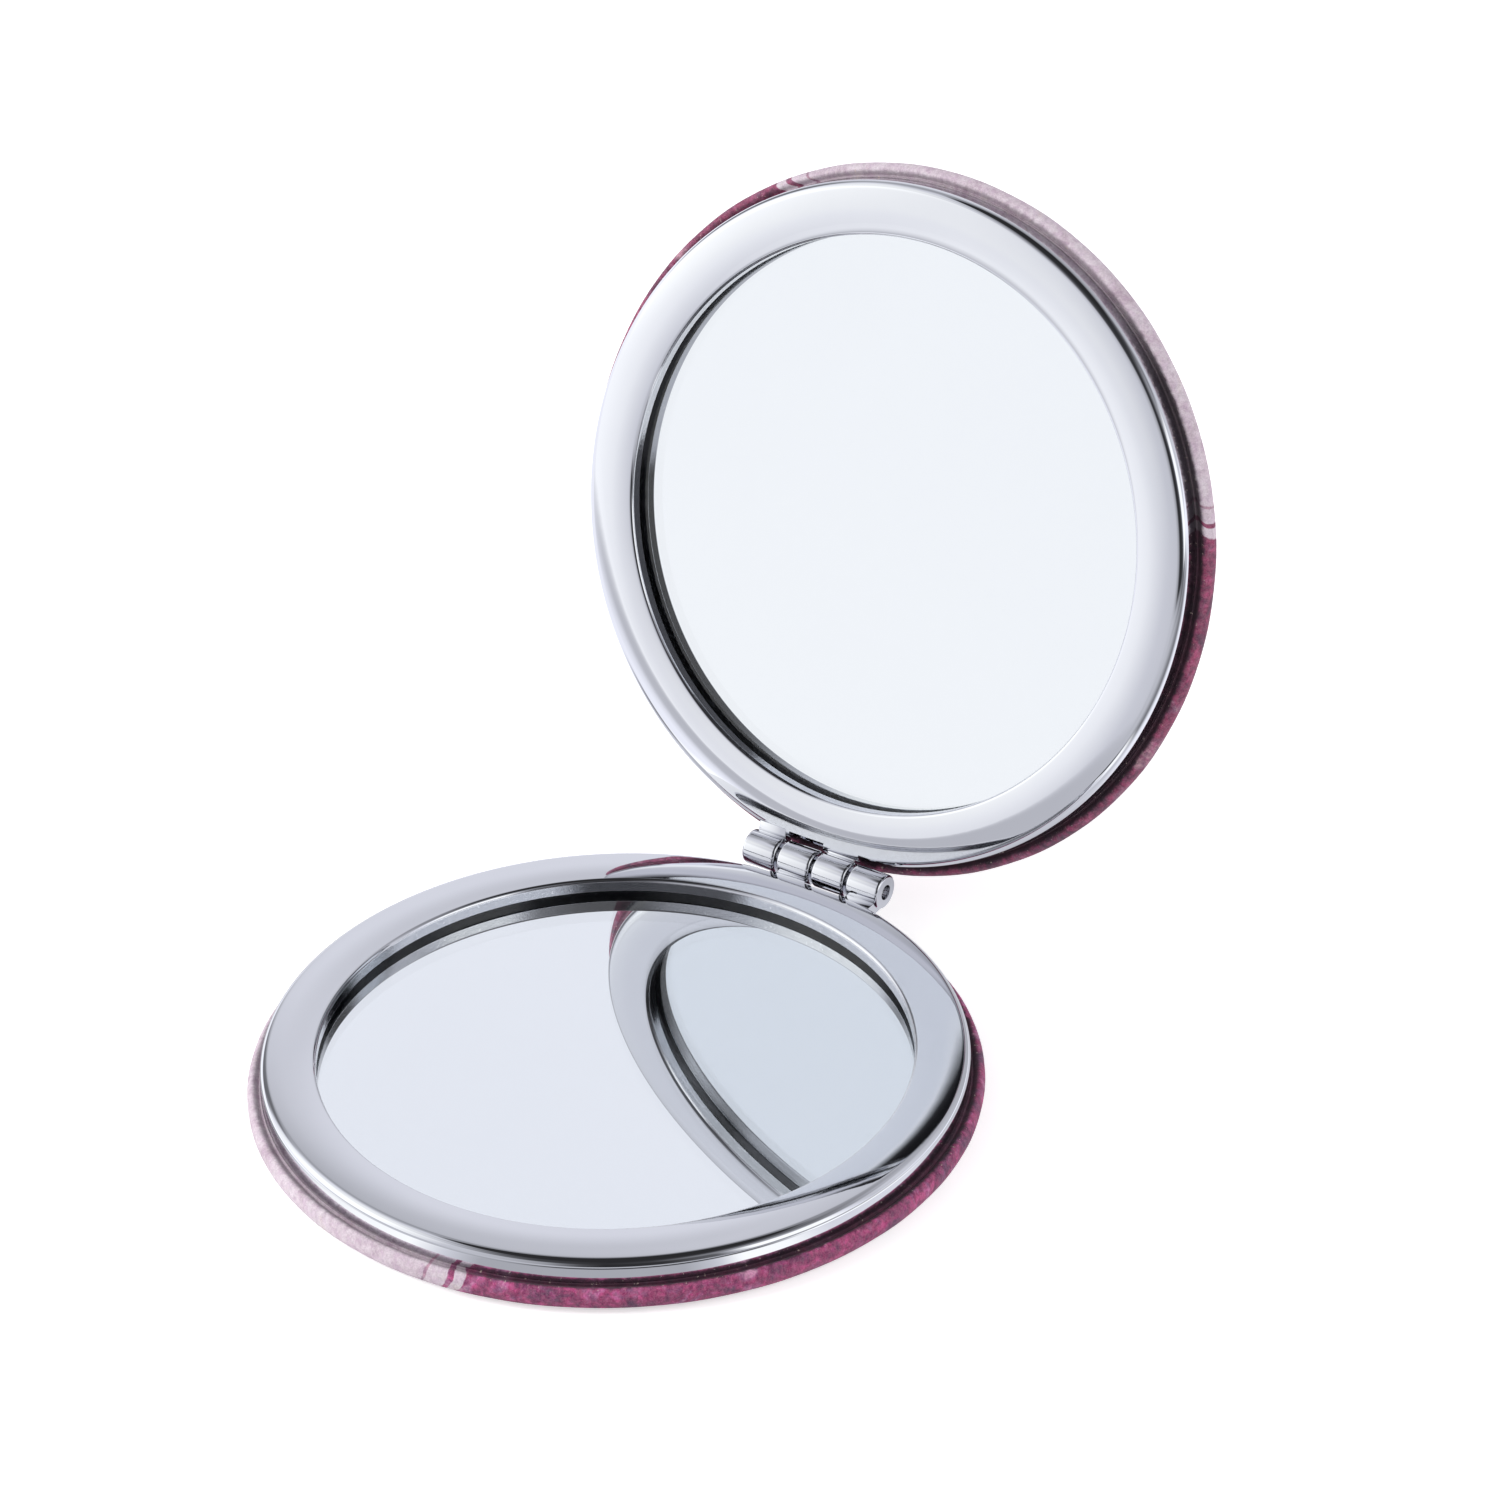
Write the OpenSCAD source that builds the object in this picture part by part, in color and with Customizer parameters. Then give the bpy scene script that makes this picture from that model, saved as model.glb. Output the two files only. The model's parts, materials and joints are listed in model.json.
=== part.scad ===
// Round compact mirror: two padded halves with domed metal frames, joined by a four-knuckle hinge.
// Each half is drawn once, with its rim crown at height zero and its face up, and is then placed.
// The two halves are alike: the lid is the same half turned about the hinge.

/* [Overall] */
// Diameter across the padded covers
cover_d = 70; // [66:0.5:80]
// Angle between the two halves, 0 is closed
open_angle = 108.5; // [60:0.1:150]
// Gap between the two rims when closed
face_gap = 0.3; // [0.2:0.05:0.6]
// Gap between the two covers when opened flat
open_clear = 0.3; // [0.2:0.05:1.5]

/* [Frame] */
// How far the covers stand out past the frames
cover_proud = 1.4; // [1.2:0.05:1.5]
// Width of the domed rim, from the opening to the outer wall
rim_w = 5.3; // [4.4:0.05:6.8]
// Radius of the shallow dome across the rim
dome_r = 22; // [14:0.5:40]
// Radius of the lip round the opening
lip_r = 0.3; // [0.2:0.05:0.5]
// Width of the channel under the rim, from the cast wall under the lip to the outer wall
channel_w = 2.6; // [2.2:0.05:3.2]
// Radius where the rim turns down into the outer wall
shoulder_r = 0.5; // [0.35:0.05:0.7]
// Thickness of the rim over the channel that holds leaf and magnets
rim_t = 0.8; // [0.7:0.05:0.9]
// Thickness of the outer wall
wall_t = 0.8; // [0.6:0.05:0.9]
// Fillet in the corner between rim and outer wall, inside
fillet_r = 0.3; // [0.2:0.05:0.4]
// Chamfer round the foot of the outer wall
foot_chamfer = 0.2; // [0.1:0.05:0.3]

/* [Mirror] */
// Depth of the glass below the rim crown
mirror_depth = 1.45; // [1.2:0.05:1.6]
// Thickness of the glass
mirror_t = 1.35; // [1:0.05:1.6]
// How far the edge of the glass stays inside the channel
mirror_in = 0.1; // [0.05:0.05:0.6]
// Ground edge of the glass
mirror_edge = 0.15; // [0.05:0.05:0.25]
// Thickness of the foam pad behind the glass
pad_t = 0.3; // [0.2:0.05:0.6]
// How far the pad stays inside the edge of the glass
pad_inset = 2.2; // [1:0.1:8]

/* [Back plate] */
// Thickness of the back plate
plate_t = 0.5; // [0.3:0.05:0.8]
// How far the edge of the plate stays inside the bulge centre of the cover
plate_inset = 0.2; // [0.1:0.05:0.6]
// Height of the plate rim that plugs into the frame
plug_h = 1.6; // [0.8:0.05:1.7]
// Thickness of that rim
plug_t = 0.5; // [0.3:0.05:0.6]
// Clearance between that rim and the frame wall
plug_clear = 0.1; // [0.05:0.05:0.15]

/* [Cover] */
// Thickness of the leatherette
cover_t = 0.7; // [0.5:0.05:0.8]
// Thickness of its edge, pressed between frame and plate
hem_t = 0.6; // [0.4:0.05:0.7]
// Radius of the padded bulge at the edge of the cover
bulge_r = 1.45; // [1.35:0.05:1.6]
// How far the bulge climbs past the foot of the frame wall
cover_rise = 0.4; // [0.2:0.05:0.6]
// Height of the crown of the cover over its edge
cover_crown = 0.7; // [0.6:0.05:1.2]
// Depth to which the lower cover is pressed flat where it stands
flat_depth = 0.5; // [0.3:0.05:0.55]

/* [Hinge] */
// Outer diameter of the hinge barrel
knuckle_d = 3.5; // [3.2:0.05:3.8]
// Length of one knuckle
knuckle_len = 3.7; // [3:0.05:6]
// Gap between neighbouring knuckles
knuckle_gap = 0.33; // [0.2:0.01:0.5]
// Rounding of the knuckle ends
knuckle_edge = 0.3; // [0.1:0.05:0.4]
// Diameter of the hinge pin
pin_d = 1.5; // [1:0.05:1.8]
// How far the pin ends stay inside the barrel
pin_recess = 0.8; // [0.3:0.05:1.5]
// Radial clearance of the pin in the knuckles of the base, which hold it
pin_grip = 0.02; // [0.01:0.01:0.03]
// Radial clearance of the pin in the knuckles of the lid, which turn on it
pin_run = 0.05; // [0.04:0.01:0.1]
// Clearance under the knuckles in the notches of the frames
notch_clear = 0.3; // [0.2:0.05:0.35]
// How far the notches reach from the hinge axis into the rims
notch_reach = 2.6; // [2.5:0.05:3]
// How deep the hinge webs are let into the rims
web_bite = 0.25; // [0.1:0.05:0.4]
// Height of the rim crown over the top of a hinge web
web_drop = 0.3; // [0.2:0.05:0.5]
// Thickness of the hinge leaf inside the frame
leaf_t = 0.6; // [0.4:0.05:0.65]
// How far the leaf stays off the walls on its inner and outer side
leaf_clear = 0.2; // [0.1:0.05:0.4]

/* [Magnets] */
// Radial clearance of a closure magnet in the channel under the rim
magnet_clear = 0.15; // [0.1:0.05:0.3]
// Height of a closure magnet
magnet_h = 1.5; // [0.8:0.05:1.8]
// Angle between the two magnets of a half
magnet_spread = 16; // [8:1:40]

/* [Hidden] */

// Clearance between layers whose curved faces meet
layer_clear = 0.05;
// Clearance beside a web where it passes through the frame
slot_clear = 0.05;
// Overrun of cuts past the faces that they cut
over = 1;
// Sides of the large turned shapes, and of the small ones
$fn = 128;
small_fn = 48;
// Points along a short arc and along a long one
arc_steps = 8;
crown_steps = 10;
// Place of the rim crown, as a share of the rim width out from the opening
crown_share = 0.45;

chrome = [0.80, 0.81, 0.85];
silvering = [0.90, 0.92, 0.96];
leatherette = [0.66, 0.24, 0.38];
foam_white = [0.93, 0.92, 0.88];
tin = [0.60, 0.61, 0.62];
nickel = [0.50, 0.50, 0.51];

// Radii of the turned shapes
cover_r = cover_d / 2;
frame_r = cover_r - cover_proud;
opening_r = frame_r - rim_w;
crown_r = opening_r + crown_share * rim_w;
wall_inner_r = frame_r - wall_t;
lip_wall_r = wall_inner_r - channel_w;
mirror_r = lip_wall_r - mirror_in;
plug_r = wall_inner_r - plug_clear;
bulge_centre_r = cover_r - bulge_r;
plate_r = bulge_centre_r - plate_inset;

// Arcs of the rim: the lip and the shoulder both run on from the dome without a corner
lip_tilt = asin((crown_r - opening_r - lip_r) / (dome_r - lip_r));
shoulder_tilt = asin((frame_r - shoulder_r - crown_r) / (dome_r - shoulder_r));
lip_z = (dome_r - lip_r) * cos(lip_tilt) - dome_r;
shoulder_z = (dome_r - shoulder_r) * cos(shoulder_tilt) - dome_r;
under_z = shoulder_z + shoulder_r - rim_t;

// Heights of the layers of a half, counted down from the rim crown
mirror_z = -mirror_depth;
mirror_back_z = mirror_z - mirror_t;
plate_z = mirror_back_z - pad_t;
hem_z = plate_z + hem_t;
plate_back_z = plate_z - plate_t;
bulge_z = hem_z + cover_rise - bulge_r;
crown_z = bulge_z - bulge_r - cover_crown;
stand_z = crown_z + flat_depth;

// The crown of the cover runs on from the bulge without a corner
crown_reach = (bulge_centre_r * bulge_centre_r + cover_crown * cover_crown) / (2 * cover_crown);
crown_radius = crown_reach + bulge_r;
crown_centre_z = crown_z + crown_radius;
crown_tilt = atan2(bulge_centre_r, crown_centre_z - bulge_z);

// Hinge
hinge_y = cover_r + open_clear / 2;
hinge_z = face_gap / 2;
knuckle_r = knuckle_d / 2;
knuckle_pitch = knuckle_len + knuckle_gap;
own_knuckles = [1, 3];
other_knuckles = [0, 2];
knuckle_count = 4;
barrel_len = knuckle_count * knuckle_len + (knuckle_count - 1) * knuckle_gap;
notch_bottom_z = hinge_z - knuckle_r - notch_clear;
web_len = knuckle_len - 2 * knuckle_edge;
web_top_z = -web_drop;
leaf_bottom_z = under_z - leaf_t;
web_bottom_z = min(leaf_bottom_z, hinge_z - knuckle_r);
leaf_outer_r = wall_inner_r - fillet_r - leaf_clear;
leaf_inner_r = lip_wall_r + leaf_clear;
neck_y = leaf_outer_r - leaf_t;
pin_len = barrel_len - 2 * pin_recess;

// Points of an arc in the plane of a turned outline
function arc_points(centre, radius, from, to, steps) = [
    for (i = [0 : steps])
        let (a = from + (to - from) * i / steps)
        [centre[0] + radius * cos(a), centre[1] + radius * sin(a)]
];

function frame_outline() = concat(
    [[opening_r, mirror_z]],
    arc_points([opening_r + lip_r, lip_z], lip_r, 180, 90 + lip_tilt, arc_steps),
    arc_points([crown_r, -dome_r], dome_r, 90 + lip_tilt, 90 - shoulder_tilt, crown_steps),
    arc_points([frame_r - shoulder_r, shoulder_z], shoulder_r, 90 - shoulder_tilt, 0, arc_steps),
    [
        [frame_r, hem_z + foot_chamfer],
        [frame_r - foot_chamfer, hem_z],
        [wall_inner_r, hem_z]
    ],
    arc_points([wall_inner_r - fillet_r, under_z - fillet_r], fillet_r, 0, 90, arc_steps / 2),
    [[lip_wall_r, under_z], [lip_wall_r, mirror_z]]
);

// Place of a half in the base, and in the lid
module place_base() {
    translate([0, 0, -stand_z]) children();
}

module place_lid() {
    place_base()
        translate([0, hinge_y, hinge_z])
        rotate([180 - open_angle, 0, 0])
        rotate([0, 0, 180])
        translate([0, -hinge_y, -hinge_z])
        children();
}

// Middle of a knuckle along the hinge axis, counted from 0
function knuckle_x(i) = (i - (knuckle_count - 1) / 2) * knuckle_pitch;

// Where the web of a knuckle starts, a bite inside the rim at the end that is farther out
function web_y(i) = sqrt(pow(frame_r, 2) - pow(abs(knuckle_x(i)) + web_len / 2, 2)) - web_bite;

module on_hinge_axis(x = 0) {
    translate([x, hinge_y, hinge_z]) rotate([0, 90, 0]) children();
}

// Box between two corners
module span(low, high) {
    translate(low) cube(high - low);
}

// Block beside one knuckle, from a distance off the middle of the half out to the hinge axis
module hinge_block(i, half_len, y_from, z_from, z_to) {
    span([knuckle_x(i) - half_len, y_from, z_from], [knuckle_x(i) + half_len, hinge_y, z_to]);
}

module frame() {
    slot_half = web_len / 2 + slot_clear;
    color(chrome) difference() {
        rotate_extrude() polygon(frame_outline());
        // Notches in which the other half's knuckles turn
        for (i = other_knuckles)
            hinge_block(i, knuckle_pitch / 2, hinge_y - notch_reach, notch_bottom_z, over);
        // Slots for the webs of this half's own knuckles, and for their necks under the rim
        for (i = own_knuckles) {
            hinge_block(i, slot_half, web_y(i) - slot_clear, web_bottom_z - slot_clear, over);
            hinge_block(i, slot_half, neck_y - slot_clear, web_bottom_z - slot_clear, under_z);
        }
    }
}

// One knuckle with rounded ends, on the hinge axis
module knuckle(i) {
    half_len = knuckle_len / 2;
    flat_r = knuckle_r - knuckle_edge;
    on_hinge_axis(knuckle_x(i)) rotate_extrude($fn = small_fn) polygon(concat(
        [[0, -half_len]],
        arc_points([flat_r, knuckle_edge - half_len], knuckle_edge, -90, 0, arc_steps / 2),
        arc_points([flat_r, half_len - knuckle_edge], knuckle_edge, 0, 90, arc_steps / 2),
        [[0, half_len]]
    ));
}

module hinge_leaf(bore_clear) {
    color(chrome) difference() {
        union() {
            for (i = own_knuckles) {
                knuckle(i);
                // The web joins the knuckle to the rim, and its neck runs through the wall to the leaf
                hinge_block(i, web_len / 2, web_y(i), web_bottom_z, web_top_z);
                hinge_block(i, web_len / 2, neck_y, web_bottom_z, under_z - slot_clear);
            }
            // The leaf lies under the rim, between its two walls
            intersection() {
                translate([0, 0, leaf_bottom_z]) difference() {
                    cylinder(r = leaf_outer_r, h = leaf_t);
                    translate([0, 0, -over]) cylinder(r = leaf_inner_r, h = leaf_t + 2 * over);
                }
                span([-barrel_len / 2, 0, leaf_bottom_z], [barrel_len / 2, hinge_y, under_z]);
            }
        }
        on_hinge_axis() cylinder(r = pin_d / 2 + bore_clear, h = barrel_len + 2 * over, center = true, $fn = small_fn);
    }
}

module pin() {
    color(tin) on_hinge_axis() cylinder(d = pin_d, h = pin_len, center = true, $fn = small_fn);
}

// Closure magnets, in the channel between the cast wall and the rim of the plate
module magnets() {
    channel_outer_r = plug_r - plug_t;
    color(nickel) for (side = [-1, 1])
        rotate([0, 0, side * magnet_spread / 2])
        translate([0, -(lip_wall_r + channel_outer_r) / 2, under_z - magnet_h])
        cylinder(r = (channel_outer_r - lip_wall_r) / 2 - magnet_clear, h = magnet_h, $fn = small_fn);
}

module mirror_glass() {
    color(silvering) rotate_extrude() polygon([
        [0, mirror_back_z],
        [mirror_r - mirror_edge, mirror_back_z],
        [mirror_r, mirror_back_z + mirror_edge],
        [mirror_r, mirror_z - mirror_edge],
        [mirror_r - mirror_edge, mirror_z],
        [0, mirror_z]
    ]);
}

module mirror_pad() {
    color(foam_white) translate([0, 0, plate_z]) cylinder(r = mirror_r - pad_inset, h = pad_t);
}

module back_plate() {
    // The rim of the plate is left out beside the hinge, where the leaf comes through
    gap_half = barrel_len / 2 + leaf_clear;
    color(tin) union() {
        translate([0, 0, plate_back_z]) cylinder(r = plate_r, h = plate_t);
        difference() {
            translate([0, 0, plate_z]) cylinder(r = plug_r, h = plug_h);
            translate([0, 0, plate_z - over]) cylinder(r = plug_r - plug_t, h = plug_h + 2 * over);
            span([-gap_half, 0, plate_z], [gap_half, hinge_y, plate_z + plug_h + over]);
        }
    }
}

// Outline of the padded form, drawn in by depth from the outer face, from the bulge to the middle
function padded_points(depth, from) = concat(
    arc_points([bulge_centre_r, bulge_z], bulge_r - depth, from, crown_tilt - 90, arc_steps * 2),
    arc_points([0, crown_centre_z], crown_radius - depth, crown_tilt - 90, -90, crown_steps)
);

// Space under the hem, drawn in by depth, and pressed flat where the half stands
module padded_space(depth, flat) {
    from = asin((plate_z - bulge_z) / (bulge_r - depth));
    difference() {
        polygon(concat([[0, plate_z]], padded_points(depth, from)));
        translate([0, crown_z - over]) square([cover_r, over + flat + depth]);
    }
}

module cover(flat) {
    shoulder_x = frame_r + layer_clear;
    from = acos((shoulder_x - bulge_centre_r) / bulge_r);
    color(leatherette) rotate_extrude() difference() {
        polygon(concat([[0, hem_z], [shoulder_x, hem_z]], padded_points(0, from)));
        translate([0, crown_z - over]) square([cover_r, over + flat]);
        padded_space(cover_t, flat);
        // The hem ends at the frame wall's inner face
        translate([0, plate_z - layer_clear]) square([wall_inner_r, hem_t + layer_clear + over]);
    }
}

module foam(flat) {
    color(foam_white) rotate_extrude() difference() {
        padded_space(cover_t + layer_clear, flat);
        translate([0, plate_back_z]) square([plate_r + layer_clear, plate_t + over]);
    }
}

module base_frame() { place_base() frame(); }
module base_hinge_leaf() { place_base() hinge_leaf(pin_grip); }
module hinge_pin() { place_base() pin(); }
module base_magnets() { place_base() magnets(); }
module base_mirror() { place_base() mirror_glass(); }
module base_mirror_pad() { place_base() mirror_pad(); }
module base_back_plate() { place_base() back_plate(); }
module base_foam() { place_base() foam(flat_depth); }
module base_cover() { place_base() cover(flat_depth); }
module lid_frame() { place_lid() frame(); }
module lid_hinge_leaf() { place_lid() hinge_leaf(pin_run); }
module lid_magnets() { place_lid() magnets(); }
module lid_mirror() { place_lid() mirror_glass(); }
module lid_mirror_pad() { place_lid() mirror_pad(); }
module lid_back_plate() { place_lid() back_plate(); }
module lid_foam() { place_lid() foam(0); }
module lid_cover() { place_lid() cover(0); }

base_frame();
base_hinge_leaf();
hinge_pin();
base_magnets();
base_mirror();
base_mirror_pad();
base_back_plate();
base_foam();
base_cover();
lid_frame();
lid_hinge_leaf();
lid_magnets();
lid_mirror();
lid_mirror_pad();
lid_back_plate();
lid_foam();
lid_cover();
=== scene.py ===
"""Looks of the round compact mirror: polished frames, glass, padded covers, hinge, light and camera.

Every turned piece is drawn in half coordinates, with the crown of the rim at height zero and the
face up, and is then placed on the lower or the upper half.
"""

import json
import math

import bmesh
import bpy
import numpy as np
from mathutils import Matrix, Quaternion, Vector


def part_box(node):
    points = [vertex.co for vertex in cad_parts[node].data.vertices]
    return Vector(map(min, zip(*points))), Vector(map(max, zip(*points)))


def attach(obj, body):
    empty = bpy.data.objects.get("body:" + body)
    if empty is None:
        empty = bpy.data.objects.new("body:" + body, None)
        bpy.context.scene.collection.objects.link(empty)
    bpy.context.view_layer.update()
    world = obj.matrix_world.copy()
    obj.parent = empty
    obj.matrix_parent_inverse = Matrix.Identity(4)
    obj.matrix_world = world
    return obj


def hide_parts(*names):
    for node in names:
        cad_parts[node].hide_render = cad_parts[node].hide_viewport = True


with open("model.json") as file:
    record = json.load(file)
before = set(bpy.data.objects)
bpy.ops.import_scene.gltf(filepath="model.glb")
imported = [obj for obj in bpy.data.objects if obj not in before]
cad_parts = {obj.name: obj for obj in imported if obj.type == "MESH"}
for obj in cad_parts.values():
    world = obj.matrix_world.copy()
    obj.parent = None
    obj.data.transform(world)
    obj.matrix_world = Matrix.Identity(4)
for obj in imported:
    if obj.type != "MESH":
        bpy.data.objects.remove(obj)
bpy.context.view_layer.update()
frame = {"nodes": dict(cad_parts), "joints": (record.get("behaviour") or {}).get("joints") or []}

MM = 0.001
TURN = 2 * math.pi
# Below this, two points are one
TINY = 1e-9

# Places read from the frame, with heights counted from the crown of the rim
joint = frame["joints"][0]
hinge_place = Vector(joint["pos_m"])
open_angle = math.radians(-joint["range_deg"][0])
frame_low, frame_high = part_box("base_frame")
mirror_low, mirror_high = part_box("base_mirror")
pad_low, pad_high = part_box("base_mirror_pad")
plate_low, plate_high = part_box("base_back_plate")
cover_low, cover_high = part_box("base_cover")
pin_low, pin_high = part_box("hinge_pin")
rim_top = frame_high.z
frame_r = frame_high.x
hem_z = frame_low.z - rim_top
under_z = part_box("base_magnets")[1].z - rim_top
mirror_r = mirror_high.x
mirror_z = mirror_high.z - rim_top
mirror_back_z = mirror_low.z - rim_top
pad_r = pad_high.x
plate_r = plate_high.x
plate_z = pad_low.z - rim_top
plate_back_z = plate_low.z - rim_top
cover_r = cover_high.x
stand_z = cover_low.z - rim_top
pin_r = (pin_high.z - pin_low.z) / 2
pin_half = pin_high.x
hinge_y = hinge_place.y
hinge_z = hinge_place.z - rim_top

# Sizes of the frame that its box doesn't show
rim_w = 5.3 * MM
# Place of the rim's crown, as a share of its width out from the opening
crown_share = 0.45
dome_r = 22 * MM
lip_r = 0.4 * MM
shoulder_r = 0.9 * MM
wall_t = 0.8 * MM
channel_w = 2.6 * MM
fillet_r = 0.3 * MM
foot_r = 0.2 * MM
# Rounding where the opening's wall stands on the glass
seat_r = 0.04 * MM
# How far from a rounding a guard point keeps the straight wall straight in the polish
guard = 0.04 * MM

# Sizes of the glass, its pad and the foam
glass_edge = 0.15 * MM
pad_edge = 0.1 * MM
# How far faces that would meet in one plane are kept apart
glass_air = 0.006 * MM
foam_air = 0.01 * MM

# Sizes of the cover
cover_t = 0.7 * MM
skin_middle = 0.6 * cover_t
bulge_r = 1.45 * MM
cover_rise = 0.4 * MM
cover_crown = 0.7 * MM
layer_clear = 0.05 * MM
# Rounding of the cover's edge at the tuck
tuck_edge = 0.05 * MM
# The dip behind the tuck, the puff towards the bulge, and the angle from which the bulge is a full circle
valley_drop = 0.65 * MM
puff_reach = 0.56 * MM
puff_rise = 0.47 * MM
full_from = 40
# Depth of the fine pleats and of the slight sags, and the share of the pleats that is left on the bulge
pleat_depth = 0.009 * MM
sag_depth = 0.02 * MM
bulge_share = 0.4
# Rounding of the edge of the flat, and how far above the flat it is felt
flat_soft = 0.06 * MM
flat_reach = 8 * flat_soft

# Sizes of the hinge
knuckle_r = 1.75 * MM
knuckle_len = 3.7 * MM
knuckle_gap = 0.33 * MM
knuckle_edge = 0.3 * MM
knuckle_count = 4
own_knuckles = (1, 3)
other_knuckles = (0, 2)
pin_clear = {"base": 0.02 * MM, "lid": 0.05 * MM}
pin_edge = 0.25 * MM
notch_clear = 0.3 * MM
notch_reach = 2.6 * MM
web_bite = 0.25 * MM
web_drop = 0.3 * MM
web_edge = 0.08 * MM
leaf_t = 0.6 * MM
leaf_clear = 0.2 * MM
slot_clear = 0.05 * MM
# Overrun of cuts past the faces that they cut
over = 1 * MM

# Radii and heights of the frame
opening_r = frame_r - rim_w
crown_r = opening_r + crown_share * rim_w
wall_inner_r = frame_r - wall_t
lip_wall_r = wall_inner_r - channel_w
lip_tilt = math.asin((crown_r - opening_r - lip_r) / (dome_r - lip_r))
shoulder_tilt = math.asin((frame_r - shoulder_r - crown_r) / (dome_r - shoulder_r))
lip_z = (dome_r - lip_r) * math.cos(lip_tilt) - dome_r
shoulder_z = (dome_r - shoulder_r) * math.cos(shoulder_tilt) - dome_r

# Radii and heights of the cover, whose crown runs on from the bulge without a corner
tuck_r = frame_r + layer_clear
tuck_z = hem_z + tuck_edge
bulge_centre_r = cover_r - bulge_r
bulge_z = hem_z + cover_rise - bulge_r
crown_z = bulge_z - bulge_r - cover_crown
crown_reach = (bulge_centre_r ** 2 + cover_crown ** 2) / (2 * cover_crown)
crown_radius = crown_reach + bulge_r
crown_centre_z = crown_z + crown_radius
crown_from = math.degrees(math.atan2(bulge_centre_r, crown_centre_z - bulge_z)) - 90

# Places of the hinge
knuckle_pitch = knuckle_len + knuckle_gap
barrel_len = knuckle_count * knuckle_len + (knuckle_count - 1) * knuckle_gap
web_len = knuckle_len - 2 * knuckle_edge
leaf_bottom_z = under_z - leaf_t
web_bottom_z = min(leaf_bottom_z, hinge_z - knuckle_r)
leaf_outer_r = wall_inner_r - fillet_r - leaf_clear
leaf_inner_r = lip_wall_r + leaf_clear
neck_y = leaf_outer_r - leaf_t

# Sides of the turned pieces
FRAME_SIDES = 512
COVER_SIDES = 1080
GLASS_SIDES = 256
LEAF_SIDES = 256
FOAM_SIDES = 192
PAD_SIDES = 128
KNUCKLE_SIDES = 96
PIN_SIDES = 64

TO_BASE = Matrix.Translation((0, 0, rim_top))
TO_LID = (
    Matrix.Translation(hinge_place)
    @ Matrix.Rotation(math.pi - open_angle, 4, "X")
    @ Matrix.Rotation(math.pi, 4, "Z")
    @ Matrix.Translation((0, -hinge_y, -hinge_z))
)
PLACES = {"base": TO_BASE, "lid": TO_LID}

BLACK = (0, 0, 0)
WHITE = (1, 1, 1)


# Mesh helpers

def arc(centre_r, centre_z, radius, start, stop, steps):
    """Points of an arc in the plane of a turned outline, angles in degrees."""
    angles = np.radians(np.linspace(start, stop, steps + 1))
    return [(centre_r + radius * math.cos(a), centre_z + radius * math.sin(a)) for a in angles]


def curve(start, after_start, before_end, end, steps):
    """Points of a smooth curve that leaves start towards one point and reaches end from another."""
    points = []
    corners = (start, after_start, before_end, end)
    for t in np.linspace(0, 1, steps + 1):
        shares = ((1 - t) ** 3, 3 * t * (1 - t) ** 2, 3 * t ** 2 * (1 - t), t ** 3)
        points.append(tuple(sum(s * c[k] for s, c in zip(shares, corners)) for k in (0, 1)))
    return points


def add_object(name, data):
    made = bpy.data.objects.new(name, data)
    bpy.context.scene.collection.objects.link(made)
    return made


def add_mesh(name, vertices, faces, materials=()):
    mesh = bpy.data.meshes.new(name)
    mesh.from_pydata([tuple(v) for v in vertices], [], faces)
    for material in materials:
        mesh.materials.append(material)
    mesh.update()
    return add_object(name, mesh)


def smooth(piece, degrees=32):
    """Smooth faces, with a hard edge where they meet at more than an angle."""
    mesh = piece.data
    mesh.polygons.foreach_set("use_smooth", np.ones(len(mesh.polygons), bool))
    mesh.set_sharp_from_angle(angle=math.radians(degrees))
    return piece


def face_out(piece):
    """Turns the faces of a closed mesh outwards."""
    mesh = bmesh.new()
    mesh.from_mesh(piece.data)
    bmesh.ops.recalc_face_normals(mesh, faces=mesh.faces)
    mesh.to_mesh(piece.data)
    mesh.free()


def lathe(name, outline, sides, tags=None, bend=None, materials=()):
    """Closed solid turned round Z. tags gives the material index of each edge of the outline."""
    rows = []
    vertices = []
    angles = np.arange(sides) * TURN / sides
    for r, z in outline:
        first = len(vertices)
        if r < TINY:
            rows.append([first] * sides)
            vertices.append((0, 0, z))
        else:
            rows.append(list(range(first, first + sides)))
            vertices.extend((r * math.cos(a), r * math.sin(a), z) for a in angles)
    if bend is not None:
        vertices = bend(np.array(vertices))
    faces = []
    indices = []
    for k, row in enumerate(rows):
        other = rows[(k + 1) % len(rows)]
        if row[0] == row[1] and other[0] == other[1]:
            continue
        for i in range(sides):
            j = (i + 1) % sides
            faces.append(list(dict.fromkeys([row[i], row[j], other[j], other[i]])))
            indices.append(tags[k] if tags else 0)
    piece = add_mesh(name, vertices, faces, materials)
    piece.data.polygons.foreach_set("material_index", np.array(indices, np.int32))
    face_out(piece)
    return piece


def block(name, low, high, rounding=0.0):
    """Block between two corners, with rounded edges."""
    mesh = bmesh.new()
    bmesh.ops.create_cube(mesh, size=1)
    size = Vector(high) - Vector(low)
    middle = (Vector(high) + Vector(low)) / 2
    for v in mesh.verts:
        v.co = v.co * size + middle
    if rounding:
        bmesh.ops.bevel(mesh, geom=list(mesh.edges), offset=rounding, segments=3,
                        profile=0.5, affect="EDGES", clamp_overlap=True)
    data = bpy.data.meshes.new(name)
    mesh.to_mesh(data)
    mesh.free()
    return add_object(name, data)


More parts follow.
